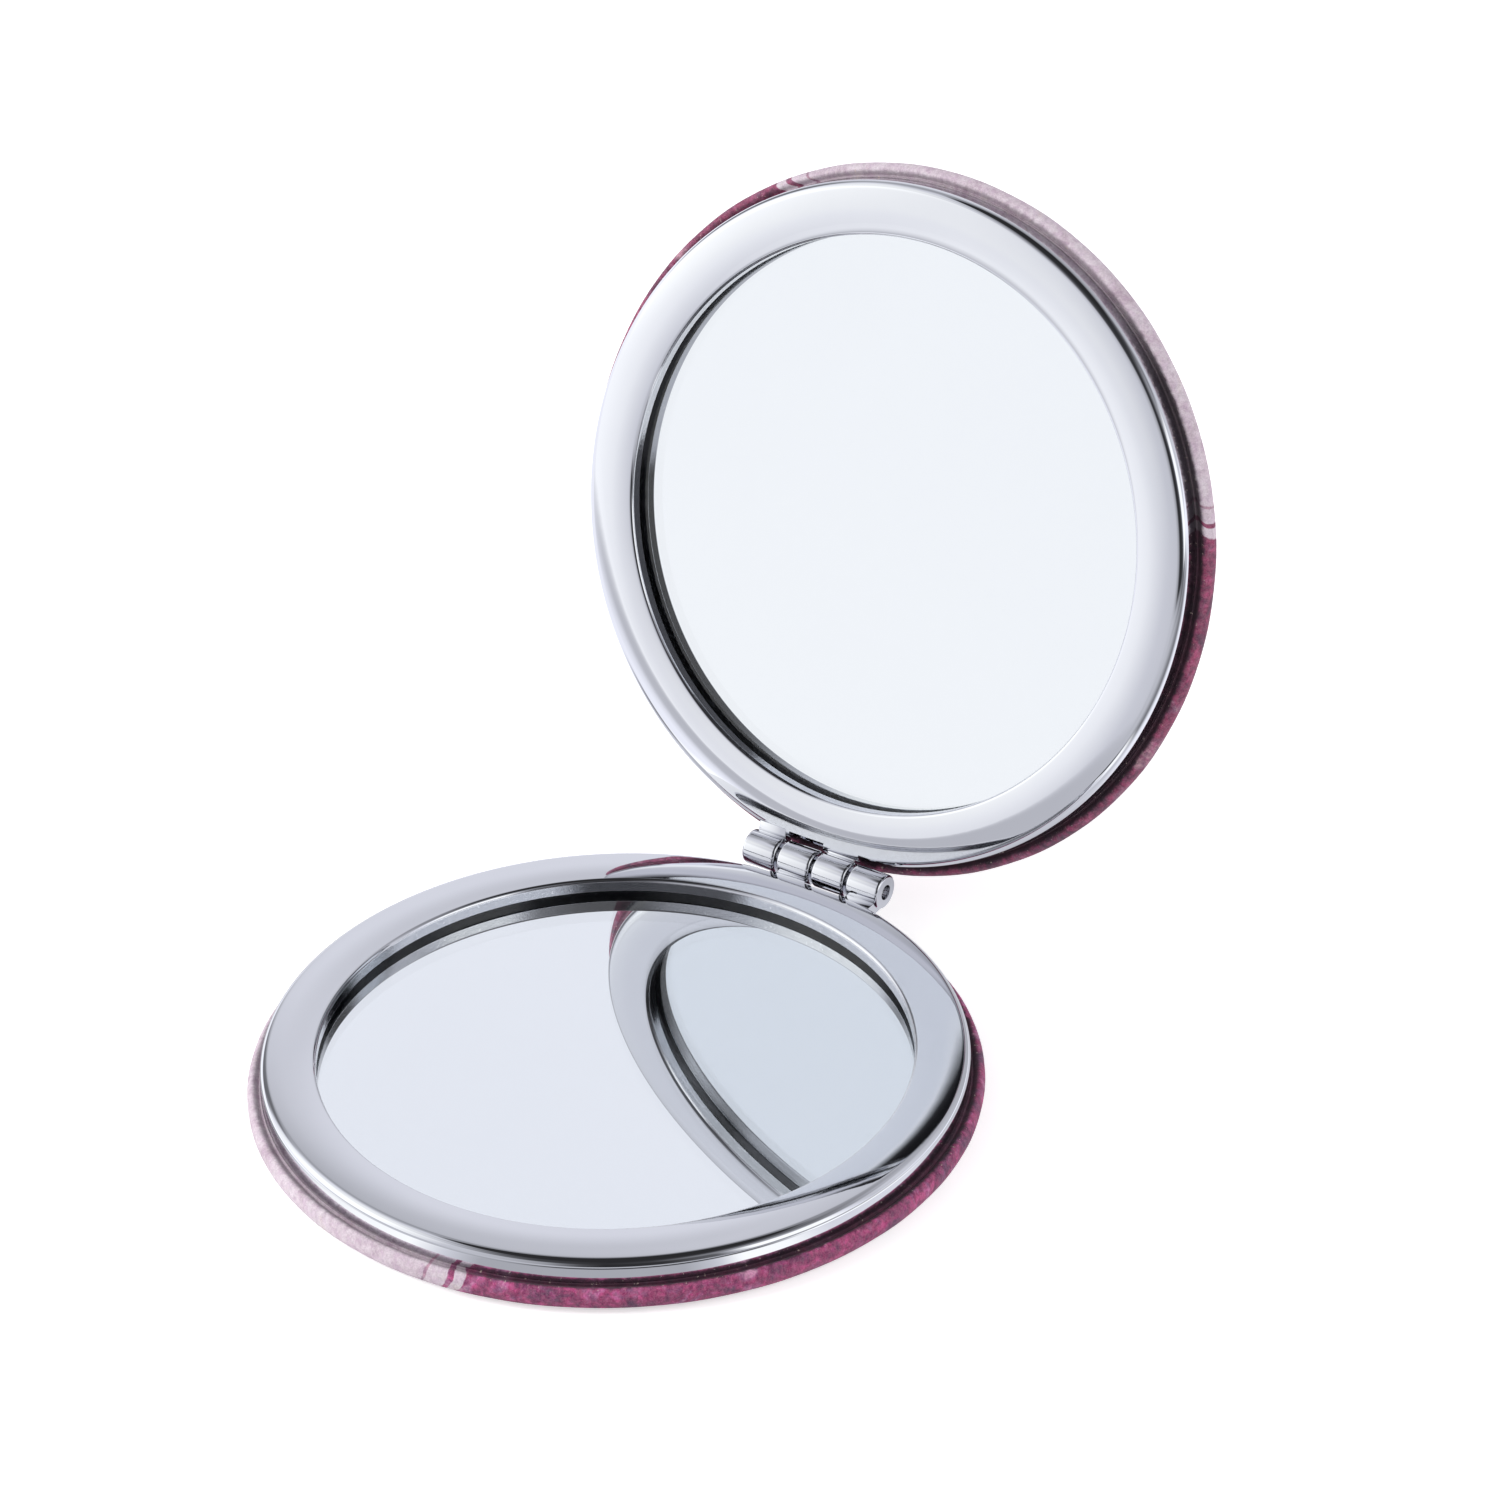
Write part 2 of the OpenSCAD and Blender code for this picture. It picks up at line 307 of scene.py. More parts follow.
def combine(piece, others, operation):
    """Cuts or joins solids, and deletes the others."""
    for other in others:
        modifier = piece.modifiers.new("combine", "BOOLEAN")
        modifier.operation = operation
        modifier.solver = "EXACT"
        modifier.object = other
        bpy.context.view_layer.update()
        evaluated = piece.evaluated_get(bpy.context.evaluated_depsgraph_get())
        mesh = bpy.data.meshes.new_from_object(evaluated)
        piece.modifiers.clear()
        old = piece.data
        piece.data = mesh
        bpy.data.meshes.remove(old)
    for other in others:
        bpy.data.objects.remove(other)
    return piece


def along_x(piece):
    """Turns a piece that was turned round Z onto the hinge axis."""
    upright = Matrix.Rotation(math.pi / 2, 4, "Y")
    piece.data.transform(Matrix.Translation((0, hinge_y, hinge_z)) @ upright)
    return piece


def put(piece, half, replaced):
    """Places a piece on its half, and gives it its part in the frame."""
    piece.data.transform(PLACES[half])
    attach(piece, half)
    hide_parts(replaced)


# Node helpers

class Shader:
    """A node tree with short calls for the nodes that the materials use."""

    def __init__(self, tree):
        self.tree = tree
        self.tree.nodes.clear()

    def add(self, kind, **settings):
        node = self.tree.nodes.new(kind)
        for key, value in settings.items():
            setattr(node, key, value)
        return node

    def link(self, source, target):
        self.tree.links.new(source, target)

    def feed(self, socket, value):
        """Links an output to a socket, or sets a constant on it."""
        if isinstance(value, bpy.types.NodeSocket):
            self.link(value, socket)
        elif socket.type == "RGBA":
            socket.default_value = (*value, 1)
        else:
            socket.default_value = value

    def fill(self, node, values):
        """Feeds the named inputs of a node."""
        for name, value in values.items():
            self.feed(node.inputs[name], value)

    def end(self, kind, node):
        """Ends the tree in its output node."""
        self.link(node.outputs[0], self.add(kind).inputs["Surface"])

    def split(self, vector):
        """X, Y and Z of a vector."""
        parts = self.add("ShaderNodeSeparateXYZ")
        self.link(vector, parts.inputs[0])
        return parts.outputs

    def math(self, operation, *values):
        node = self.add("ShaderNodeMath", operation=operation)
        for socket, value in zip(node.inputs, values):
            self.feed(socket, value)
        return node.outputs[0]

    def between(self, value, low, high):
        """Runs from low to high as a value runs from 0 to 1."""
        return self.math("MULTIPLY_ADD", value, high - low, low)

    def distance(self, x, y):
        """Distance from the middle in plan."""
        return self.math("SQRT", self.math("MULTIPLY_ADD", x, x, self.math("MULTIPLY", y, y)))

    def towards(self, x, y, degrees):
        """How far a place lies from the middle towards a direction in plan."""
        angle = math.radians(degrees)
        return self.math("MULTIPLY_ADD", x, math.cos(angle), self.math("MULTIPLY", y, math.sin(angle)))

    def mix(self, factor, a, b, blend="MIX"):
        node = self.add("ShaderNodeMix", data_type="RGBA", blend_type=blend)
        self.fill(node, {"Factor": factor, "A": a, "B": b})
        return node.outputs["Result"]

    def mix_number(self, factor, a, b):
        node = self.add("ShaderNodeMix", data_type="FLOAT")
        self.fill(node, {"Factor": factor, "A": a, "B": b})
        return node.outputs["Result"]

    def ramp(self, factor, stops):
        """Colours between stops, each a place from 0 to 1 and a colour."""
        node = self.add("ShaderNodeValToRGB")
        elements = node.color_ramp.elements
        while len(elements) < len(stops):
            elements.new(0.5)
        for element, (place, colour) in zip(elements, stops):
            element.position = place
            element.color = (*colour, 1)
        self.feed(node.inputs["Fac"], factor)
        return node.outputs["Color"]

    def smoothstep(self, value, low, high):
        """0 at low and 1 at high, also where low is the larger."""
        node = self.add("ShaderNodeMapRange", interpolation_type="SMOOTHSTEP")
        self.fill(node, {"Value": value, "From Min": low, "From Max": high})
        return node.outputs["Result"]

    def band(self, value, low, high, soft):
        """1 between low and high, 0 outside, with soft borders."""
        return self.math("MULTIPLY", self.smoothstep(value, low, low + soft),
                         self.smoothstep(value, high, high - soft))

    def noise(self, place, size, detail=2, roughness=0.5, distortion=0):
        """Noise whose grains measure about size metres."""
        node = self.add("ShaderNodeTexNoise")
        self.fill(node, {"Vector": place, "Scale": 1 / size, "Detail": detail,
                         "Roughness": roughness, "Distortion": distortion})
        return node.outputs["Fac"]

    def cells(self, place, size, feature):
        """Round cells that measure about size metres."""
        node = self.add("ShaderNodeTexVoronoi", feature=feature)
        self.fill(node, {"Vector": place, "Scale": 1 / size})
        return node.outputs["Distance"]

    def bump(self, height, distance, normal=None):
        node = self.add("ShaderNodeBump")
        self.fill(node, {"Height": height, "Distance": distance, "Strength": 1})
        if normal is not None:
            self.link(normal, node.inputs["Normal"])
        return node.outputs["Normal"]


def new_material(name):
    """A material with its shader, its surface node and the place on the object."""
    made = bpy.data.materials.new(name)
    made.use_nodes = True
    shader = Shader(made.node_tree)
    surface = shader.add("ShaderNodeBsdfPrincipled")
    shader.end("ShaderNodeOutputMaterial", surface)
    place = shader.add("ShaderNodeTexCoord").outputs["Object"]
    return made, shader, surface, place


def half_place(shader, place, half):
    """Object coordinates turned back into half coordinates, so that each print keeps to its half."""
    node = shader.add("ShaderNodeMapping", vector_type="POINT")
    back = PLACES[half].inverted()
    shader.fill(node, {"Vector": place, "Location": back.to_translation(), "Rotation": back.to_euler()})
    return node.outputs["Vector"]


# Materials of metal, glass and foam

def chrome_material():
    made, shader, surface, place = new_material("polished_chrome")
    smear = shader.noise(place, size=9 * MM, detail=3, roughness=0.6)
    haze = shader.noise(place, size=0.5 * MM)
    ripple = shader.noise(place, size=2.4 * MM)
    smeared = shader.between(smear, 0.008, 0.028)
    shader.fill(surface, {
        "Metallic": 1,
        "Base Color": shader.mix(smear, (0.735, 0.742, 0.78), (0.775, 0.782, 0.815)),
        "Roughness": shader.math("MULTIPLY_ADD", haze, 0.008, smeared),
        "Normal": shader.bump(ripple, 0.0016 * MM),
    })
    return made


def cast_seat_material():
    """The unpolished side of the frame that bears on the glass."""
    made, shader, surface, place = new_material("cast_seat")
    patches = shader.noise(place, size=1.6 * MM, detail=5, roughness=0.65)
    grains = shader.noise(place, size=0.16 * MM, detail=3, roughness=0.6)
    tone = shader.mix(patches, (0.16, 0.175, 0.205), (0.44, 0.47, 0.52))
    shader.fill(surface, {
        "Metallic": 1,
        "Base Color": shader.mix(shader.smoothstep(grains, 0.66, 0.74), tone, (0.75, 0.76, 0.78)),
        "Roughness": shader.between(patches, 0.3, 0.55),
        "Normal": shader.bump(grains, 0.03 * MM),
    })
    return made


def cast_wall_material():
    """The plated but unground wall round the opening, with bright specks."""
    made, shader, surface, place = new_material("cast_wall")
    patches = shader.noise(place, size=1.2 * MM, detail=4, roughness=0.6)
    grains = shader.noise(place, size=0.22 * MM, detail=3, roughness=0.6)
    tone = shader.mix(patches, (0.50, 0.515, 0.55), (0.68, 0.69, 0.72))
    shader.fill(surface, {
        "Metallic": 1,
        "Base Color": shader.mix(shader.smoothstep(grains, 0.62, 0.70), tone, (0.86, 0.87, 0.89)),
        "Roughness": shader.between(patches, 0.04, 0.14),
        "Normal": shader.bump(grains, 0.010 * MM),
    })
    return made


def steel_material(name, light, dark, rough):
    made, shader, surface, place = new_material(name)
    stain = shader.noise(place, size=3 * MM, detail=4, roughness=0.6)
    grain = shader.noise(place, size=0.2 * MM, detail=3)
    shader.fill(surface, {
        "Metallic": 1,
        "Base Color": shader.mix(stain, dark, light),
        "Roughness": shader.between(grain, rough, rough + 0.2),
        "Normal": shader.bump(grain, 0.004 * MM),
    })
    return made


def glass_material():
    """Clear glass with a breath of dust on it."""
    made, shader, surface, place = new_material("mirror_glass")
    dust = shader.smoothstep(shader.noise(place, size=4 * MM, detail=4, roughness=0.6), 0.6, 1.1)
    shader.fill(surface, {
        "Base Color": (0.985, 0.995, 0.992),
        "Transmission Weight": 1,
        "IOR": 1.52,
        "Roughness": shader.math("MULTIPLY", dust, 0.01),
    })
    return made


def silver_material():
    made, shader, surface, place = new_material("mirror_silver")
    cloud = shader.noise(place, size=12 * MM)
    shader.fill(surface, {
        "Metallic": 1,
        "Roughness": 0,
        "Base Color": shader.mix(cloud, (0.925, 0.94, 0.955), (0.935, 0.95, 0.965)),
    })
    return made


def foam_material():
    made, shader, surface, place = new_material("soft_foam")
    shade = shader.noise(place, size=3 * MM, detail=3)
    shader.fill(surface, {
        "Base Color": shader.mix(shade, (0.82, 0.79, 0.72), (0.9, 0.88, 0.82)),
        "Roughness": 0.95,
        "Sheen Weight": 0.2,
        "Normal": shader.bump(shader.cells(place, 0.28 * MM, "F1"), 0.06 * MM),
    })
    return made


# Materials of the covers

# Where the pale part of each print lies: its direction, and how far from the middle it starts
PALE = {"base": (202, 7.3 * MM), "lid": (248, 19.7 * MM)}
# Tint of the rich part of each print
RICH_TINT = {"base": WHITE, "lid": (0.74, 0.80, 0.66)}
# Direction in which the painted shade at the tuck of each cover is darkest
TUCK_SHADE_DIRECTION = {"base": 5, "lid": 145}
# How far the border between pale and rich drifts over the whole print, and wanders along its way
border_drift = 9 * MM
border_wander = 0.5 * MM
border_soft = 0.08 * MM
# The rich stripe and the thin rich line in the pale part, by their distances from the border
stripe = (0.9 * MM, 1.5 * MM)
line = (2.7 * MM, 2.98 * MM)
stripe_soft = 0.1 * MM
line_soft = 0.08 * MM
line_strength = 0.55
# Where the pleats of the side begin, and where they have their full strength
side_from = 27 * MM
side_full = 33 * MM
# The painted shade at the tuck: how far it reaches from the wall, how far it is full, how uneven its border
# is, over which height it comes in, and its strength away from its darkest side and on it
tuck_shade_reach = 0.95 * MM
tuck_shade_full = 0.5 * MM
tuck_shade_uneven = 0.5 * MM
tuck_shade_height = 0.4 * MM
tuck_shade_strength = (0.35, 0.87)
tuck_shade_side = (-2 * MM, 10 * MM)
# The frayed threads: how far below the top of the tuck they begin, and where they are full
thread_from = 0.16 * MM
thread_full = 0.06 * MM
# Colours of the print's clouds, and of the blotches over them, from the darkest on
RICH_CLOUDS = [
    (0.34, (0.13, 0.030, 0.100)),
    (0.44, (0.27, 0.032, 0.130)),
    (0.52, (0.36, 0.036, 0.150)),
    (0.59, (0.37, 0.085, 0.230)),
    (0.68, (0.50, 0.26, 0.38)),
]
PALE_CLOUDS = [
    (0.28, (0.56, 0.46, 0.52)),
    (0.45, (0.70, 0.59, 0.66)),
    (0.60, (0.74, 0.65, 0.71)),
    (0.76, (0.76, 0.66, 0.64)),
]
BLOTCHES = [
    (0.38, (0.30, 0.21, 0.32)),
    (0.47, (0.44, 0.36, 0.42)),
    (0.53, (0.55, 0.50, 0.50)),
    (0.64, (0.84, 0.74, 0.78)),
]
# Painted highlight on the raised fibres and pleats, and painted shade in the hollows between them
CREST_HIGHLIGHT = (0.9, 0.84, 0.88)
HOLLOW_SHADE = (0.06, 0.02, 0.045)
# Colour of the painted shade where the cover tucks in under the wall
TUCK_SHADE = (0.035, 0.022, 0.03)
THREAD = (0.62, 0.50, 0.44)


def pale_share(shader, local, x, y, half):
    """1 where the print is pale and 0 where it is rich, with a stripe and a line along the border."""
    direction, distance = PALE[half]
    drift = shader.noise(local, size=16 * MM, detail=3)
    wander = shader.noise(local, size=1.5 * MM)
    shift = shader.math("MULTIPLY_ADD", drift, border_drift, shader.math("MULTIPLY", wander, border_wander))
    shifted = shader.math("ADD", shader.towards(x, y, direction), shift)
    past = shader.math("SUBTRACT", shifted, distance + (border_drift + border_wander) / 2)
    pale = shader.smoothstep(past, -border_soft, border_soft)
    broad = shader.band(past, *stripe, stripe_soft)
    thin = shader.math("MULTIPLY", shader.band(past, *line, line_soft), line_strength)
    return shader.math("MULTIPLY", pale, shader.math("SUBTRACT", 1, shader.math("MAXIMUM", broad, thin)))


def print_colour(shader, local, pale, blotches, half):
    """Generic cloudy print in two tones, with fine blotches that show less where it is pale."""
    clouds = shader.noise(local, size=3 * MM, detail=4, roughness=0.62, distortion=0.6)
    rich = shader.mix(1, shader.ramp(clouds, RICH_CLOUDS), RICH_TINT[half], "MULTIPLY")
    colour = shader.mix(pale, rich, shader.ramp(clouds, PALE_CLOUDS))
    strength = shader.mix_number(pale, 0.85, 0.3)
    return shader.mix(strength, colour, shader.ramp(blotches, BLOTCHES), "OVERLAY")


def side_puckers(shader, x, y, z, radius):
    """Fine pleats up the side of the cover, and none where it lies flat."""
    swing = shader.math("DIVIDE", frame_r, shader.math("MAXIMUM", radius, 1 * MM))
    wrapped = shader.add("ShaderNodeCombineXYZ")
    shader.fill(wrapped, {
        "X": shader.math("MULTIPLY", x, swing),
        "Y": shader.math("MULTIPLY", y, swing),
        "Z": shader.math("MULTIPLY", z, 0.7),
    })
    pleats = shader.noise(wrapped.outputs[0], size=0.42 * MM, detail=3, roughness=0.6)
    return shader.mix_number(shader.smoothstep(radius, side_from, side_full), 0.5, pleats)


def pleat_light_and_shade(shader, colour, fibre, puckers):
    """Painted highlight on the raised fibres and pleats, and painted shade between them."""
    raised = shader.math("MULTIPLY", shader.smoothstep(puckers, 0.32, 0.62), 0.4)
    raised = shader.math("MULTIPLY_ADD", shader.smoothstep(fibre, 0.3, 0.7), 0.6, raised)
    return shader.mix(raised, shader.mix(0.3, colour, HOLLOW_SHADE), shader.mix(0.10, colour, CREST_HIGHLIGHT))


def tuck_shade_share(shader, x, y, z, radius, blotches, half):
    """How strong the painted shade is where the cover tucks in under the wall, with an uneven border."""
    uneven = shader.math("MULTIPLY_ADD", shader.math("SUBTRACT", blotches, 0.5), tuck_shade_uneven, radius)
    beside_wall = shader.smoothstep(uneven, frame_r + tuck_shade_reach, frame_r + tuck_shade_full)
    on_top = shader.smoothstep(z, bulge_z, bulge_z + tuck_shade_height)
    toward_shaded_side = shader.smoothstep(shader.towards(x, y, TUCK_SHADE_DIRECTION[half]), *tuck_shade_side)
    return shader.math("MULTIPLY", shader.math("MULTIPLY", beside_wall, on_top),
                       shader.mix_number(toward_shaded_side, *tuck_shade_strength))


def thread_share(shader, local, z):
    """Frayed threads of the cut edge, here and there along the tuck."""
    threads = shader.smoothstep(shader.noise(local, size=0.5 * MM, detail=3, roughness=0.7), 0.62, 0.68)
    at_edge = shader.smoothstep(z, tuck_z - thread_from, tuck_z - thread_full)
    return shader.math("MULTIPLY", shader.math("MULTIPLY", threads, at_edge), 0.7)


def leatherette_material(half):
    """Fine-grained leatherette with the print of one half, painted highlight and shade on its pleats, and
    painted shade and frayed threads at its tuck.
    """
    made, shader, surface, place = new_material("printed_leatherette_" + half)
    local = half_place(shader, place, half)
    x, y, z = shader.split(local)
    radius = shader.distance(x, y)
    blotches = shader.noise(local, size=0.75 * MM, detail=3, roughness=0.6, distortion=0.5)
    fibre = shader.noise(local, size=0.14 * MM, roughness=0.6)
    puckers = side_puckers(shader, x, y, z, radius)

    colour = print_colour(shader, local, pale_share(shader, local, x, y, half), blotches, half)
    # Painted highlight and painted shade on the fibres and pleats
    colour = pleat_light_and_shade(shader, colour, fibre, puckers)
    # Painted shade where the cover tucks in under the wall, darkest towards one side
    colour = shader.mix(tuck_shade_share(shader, x, y, z, radius, blotches, half), colour, TUCK_SHADE)
    colour = shader.mix(thread_share(shader, local, z), colour, THREAD)

    pleated = shader.bump(puckers, 0.04 * MM)
    grained = shader.bump(shader.cells(local, 0.32 * MM, "SMOOTH_F1"), 0.025 * MM, pleated)
    shader.fill(surface, {
        "Base Color": colour,
        "Roughness": shader.between(fibre, 0.5, 0.75),
        "Specular IOR Level": 0.3,
        "Sheen Weight": 0.08,
        "Sheen Roughness": 0.45,
        "Sheen Tint": (1.0, 0.93, 0.96),
        "Normal": shader.bump(fibre, 0.02 * MM, grained),
    })
    return made


def backing_material():
    """The woven back of the leatherette."""
    made, shader, surface, place = new_material("cover_backing")
    fibre = shader.noise(place, size=0.12 * MM, detail=3)
    shader.fill(surface, {
        "Base Color": shader.mix(fibre, (0.42, 0.30, 0.26), (0.66, 0.53, 0.46)),
        "Roughness": 0.9,
        "Normal": shader.bump(fibre, 0.02 * MM),
    })
    return made


# Frames and hinge

def rim_outline():
    """Outline of the frame, and its materials: 0 polished, 1 the unpolished inside, 2 the opening's wall."""
    lip_end = 90 + math.degrees(lip_tilt)
    shoulder_start = 90 - math.degrees(shoulder_tilt)
    stretches = [
        (2, arc(opening_r + seat_r, mirror_z + seat_r, seat_r, 270, 180, steps=4)),
        (2, [(opening_r, mirror_z + seat_r + guard), (opening_r, lip_z - guard)]),
        (0, arc(opening_r + lip_r, lip_z, lip_r, 180, lip_end, steps=28)),
        (0, arc(crown_r, -dome_r, dome_r, lip_end, shoulder_start, steps=28)),
        (0, arc(frame_r - shoulder_r, shoulder_z, shoulder_r, shoulder_start, 0, steps=32)),
        (0, [(frame_r, shoulder_z - guard), (frame_r, hem_z + foot_r + guard)]),
        (0, arc(frame_r - foot_r, hem_z + foot_r, foot_r, 0, -90, steps=12)),
        (1, [(wall_inner_r, hem_z)]),
        (1, arc(wall_inner_r - fillet_r, under_z - fillet_r, fillet_r, 0, 90, steps=8)),
        (1, [(lip_wall_r, under_z), (lip_wall_r, mirror_z)]),
    ]
    outline = []
    tags = []
    for tag, points in stretches:
        for point in points:
            if outline and math.dist(outline[-1], point) < TINY:
                continue
            outline.append(point)
            tags.append(tag)
    return outline, tags


def knuckle_x(i):
    """Middle of a knuckle along the hinge axis, counted from 0."""
    return (i - (knuckle_count - 1) / 2) * knuckle_pitch


def web_y(i):
    """Where the web of a knuckle starts, a bite inside the rim at its outer end."""
    return math.sqrt(frame_r ** 2 - (abs(knuckle_x(i)) + web_len / 2) ** 2) - web_bite


def hinge_block(i, half_len, y_from, z_from, z_to, rounding=0.0):
    """Block beside one knuckle, from a distance off the middle of the half out to the hinge axis."""
    return block("hinge_block", (knuckle_x(i) - half_len, y_from, z_from),
                 (knuckle_x(i) + half_len, hinge_y, z_to), rounding)


def make_frame(half):
    """Turned frame, with notches for the other half's knuckles and slots for its own webs and necks."""
    outline, tags = rim_outline()
    piece = lathe(half + "_frame_chrome", outline, FRAME_SIDES, tags,
                  materials=[chrome, cast_seat, cast_wall])
    slot_half = web_len / 2 + slot_clear
    slot_bottom_z = web_bottom_z - slot_clear
    notch_bottom_z = hinge_z - knuckle_r - notch_clear
    cuts = []
    for i in other_knuckles:
        cuts.append(hinge_block(i, knuckle_pitch / 2, hinge_y - notch_reach, notch_bottom_z, over))
    for i in own_knuckles:
        cuts.append(hinge_block(i, slot_half, web_y(i) - slot_clear, slot_bottom_z, over))
        cuts.append(hinge_block(i, slot_half, neck_y - slot_clear, slot_bottom_z, under_z))
    combine(piece, cuts, "DIFFERENCE")
    put(smooth(piece), half, half + "_frame")


def rounded_rod(inner_r, outer_r, half_len, edge, steps):
    """Outline of a rod or tube with rounded ends."""
    flat_r = outer_r - edge
    outline = [(inner_r, -half_len)]
    outline += arc(flat_r, edge - half_len, edge, -90, 0, steps)
    outline += arc(flat_r, half_len - edge, edge, 0, 90, steps)
    return outline + [(inner_r, half_len)]


def make_knuckle(i, bore_r):
    outline = rounded_rod(bore_r, knuckle_r, knuckle_len / 2, knuckle_edge, steps=10)
    piece = along_x(lathe("knuckle", outline, KNUCKLE_SIDES))
    piece.data.transform(Matrix.Translation((knuckle_x(i), 0, 0)))
    return piece


def make_leaf(half):
    """Two knuckles with the webs, necks and leaf that hold them in the frame."""
    bore_r = pin_r + pin_clear[half]
    piece = lathe(half + "_hinge_chrome", [
        (leaf_inner_r, leaf_bottom_z), (leaf_outer_r, leaf_bottom_z),
        (leaf_outer_r, under_z), (leaf_inner_r, under_z)], LEAF_SIDES, materials=[chrome])
    kept_part = block("kept_part", (-barrel_len / 2, 0, leaf_bottom_z - leaf_t),
                      (barrel_len / 2, hinge_y, under_z + leaf_t))
    combine(piece, [kept_part], "INTERSECT")
    joined = []
    for i in own_knuckles:
        joined.append(hinge_block(i, web_len / 2, neck_y, web_bottom_z, under_z - slot_clear))
        joined.append(hinge_block(i, web_len / 2, web_y(i), web_bottom_z, -web_drop, web_edge))
        joined.append(make_knuckle(i, bore_r))
    combine(piece, joined, "UNION")
    bore = lathe("bore", [(0, -barrel_len), (bore_r, -barrel_len), (bore_r, barrel_len), (0, barrel_len)],
                 KNUCKLE_SIDES)
    combine(piece, [along_x(bore)], "DIFFERENCE")
    put(smooth(piece), half, half + "_hinge_leaf")


def make_pin():
    outline = rounded_rod(0, pin_r, pin_half, pin_edge, steps=6)
    piece = along_x(lathe("hinge_pin_steel", outline, PIN_SIDES, materials=[pin_steel]))
    put(smooth(piece), "base", "hinge_pin")


# Glass, covers and foam

def make_glass(half):
    """Glass with ground edges, silvered on its back."""
    top_z = mirror_z - glass_air
    outline = [
        (0, top_z), (mirror_r - glass_edge, top_z), (mirror_r, mirror_z - glass_edge),
        (mirror_r, mirror_back_z + glass_edge), (mirror_r - glass_edge, mirror_back_z), (0, mirror_back_z)]
    tags = [0, 0, 0, 1, 1, 1]
    piece = lathe(half + "_mirror_glass", outline, GLASS_SIDES, tags, materials=[glass, silver])
    put(smooth(piece, 20), half, half + "_mirror")


def padded_points(depth, start, bulge_steps, crown_steps):
    """Outline of the padding at a depth below the outside, from an angle on the bulge to the middle."""
    bulge = arc(bulge_centre_r, bulge_z, bulge_r - depth, start, crown_from, bulge_steps)
    return bulge + arc(0, crown_centre_z, crown_radius - depth, crown_from, -90, crown_steps)[1:]


def plate_angle(depth):
    """Angle on the bulge at which the padding meets the level of the back plate."""
    return math.degrees(math.asin((plate_z - bulge_z) / (bulge_r - depth)))


def cover_outline():
    """Closed outline of the cover and its materials: the skin outside, then back along the backing."""
    hem = [(wall_inner_r, plate_z), (wall_inner_r, hem_z)]
    tip = arc(tuck_r + tuck_edge, tuck_z - tuck_edge, tuck_edge, 180, 0, steps=8)
    padded = padded_points(0, full_from, bulge_steps=52, crown_steps=60)
    valley = (tip[-1][0] + tuck_edge, tip[-1][1] - valley_drop)
    puff = (padded[0][0] - puff_reach, padded[0][1] + puff_rise)
    outside = tip + curve(tip[-1], valley, puff, padded[0], steps=24)[1:] + padded[1:]
    inside = padded_points(cover_t, plate_angle(cover_t), bulge_steps=16, crown_steps=24)[::-1]
    tags = [1] + [0] * (len(hem) - 1 + len(outside)) + [1] * len(inside)
    return hem + outside + inside, tags


# In the two waves that follow, the number beside an angle is a count round the cover

def pleats(angle):
    """Fine folds round the tuck, uneven in width and depth, from -1.5 to 1.5."""
    folds = np.sin(angle * 140 + 2.4 * np.sin(angle * 17 + 0.7)) * np.sin(angle * 31 + 1.9)
    return folds + 0.5 * np.sin(angle * 263 + 3 * np.sin(angle * 11))


def sags(angle, z):
    """Slight hollows of the padding round the bulge, from -1.6 to 1.6."""
    return np.sin(angle * 5 + 0.4) * np.sin(angle * 13 + 2.1) + 0.6 * np.sin(angle * 29 + z / MM)


def pressed_flat(z):
    """Heights of the lower cover, pressed flat where it stands."""
    floor = np.where(z < crown_z + skin_middle, stand_z, stand_z + cover_t)
    lifted = floor + flat_soft * np.logaddexp(0, (z - floor) / flat_soft)
    return np.where(z < bulge_z - bulge_r + flat_reach, np.maximum(lifted, floor), z)


def cover_bend(half):
    """Soft unevenness of the padding, pleats at the tuck, and the flat that the base stands on."""
    most_pleat = 1.5
    most_sag = 1.6

    def bend(points):
        x, y, z = points.T
        r = np.hypot(x, y)
        angle = np.arctan2(y, x)
        tucked = np.clip((z - bulge_z) / bulge_r, 0, 1) ** 2
        pleated = pleat_depth * (most_pleat + pleats(angle)) * (bulge_share + (1 - bulge_share) * tucked)
        sagged = sag_depth * (most_sag + sags(angle, z)) * (1 - tucked)
        inwards = np.where(r > bulge_centre_r, pleated + sagged, 0)
        scale = np.where(r > TINY, (r - inwards) / np.maximum(r, TINY), 1)
        height = pressed_flat(z) if half == "base" else z
        return np.column_stack((x * scale, y * scale, height))
    return bend


def make_cover(half):
    outline, tags = cover_outline()
    skin = leatherette_material(half)
    piece = lathe(half + "_cover_leatherette", outline, COVER_SIDES, tags, cover_bend(half), [skin, backing])
    put(smooth(piece, 50), half, half + "_cover")


def make_foam(half):
    """The pressed foam between back plate and cover."""
    gap = cover_t + layer_clear
    top_z = plate_back_z - foam_air
    outline = [(0, top_z), (plate_r + layer_clear, top_z), (plate_r + layer_clear, plate_z)]
    outline += padded_points(gap, plate_angle(gap), bulge_steps=16, crown_steps=24)
    if half == "base":
        outline = [(r, max(z, stand_z + gap)) for r, z in outline]
    piece = lathe(half + "_foam_soft", outline, FOAM_SIDES, materials=[foam])
    put(smooth(piece), half, half + "_foam")


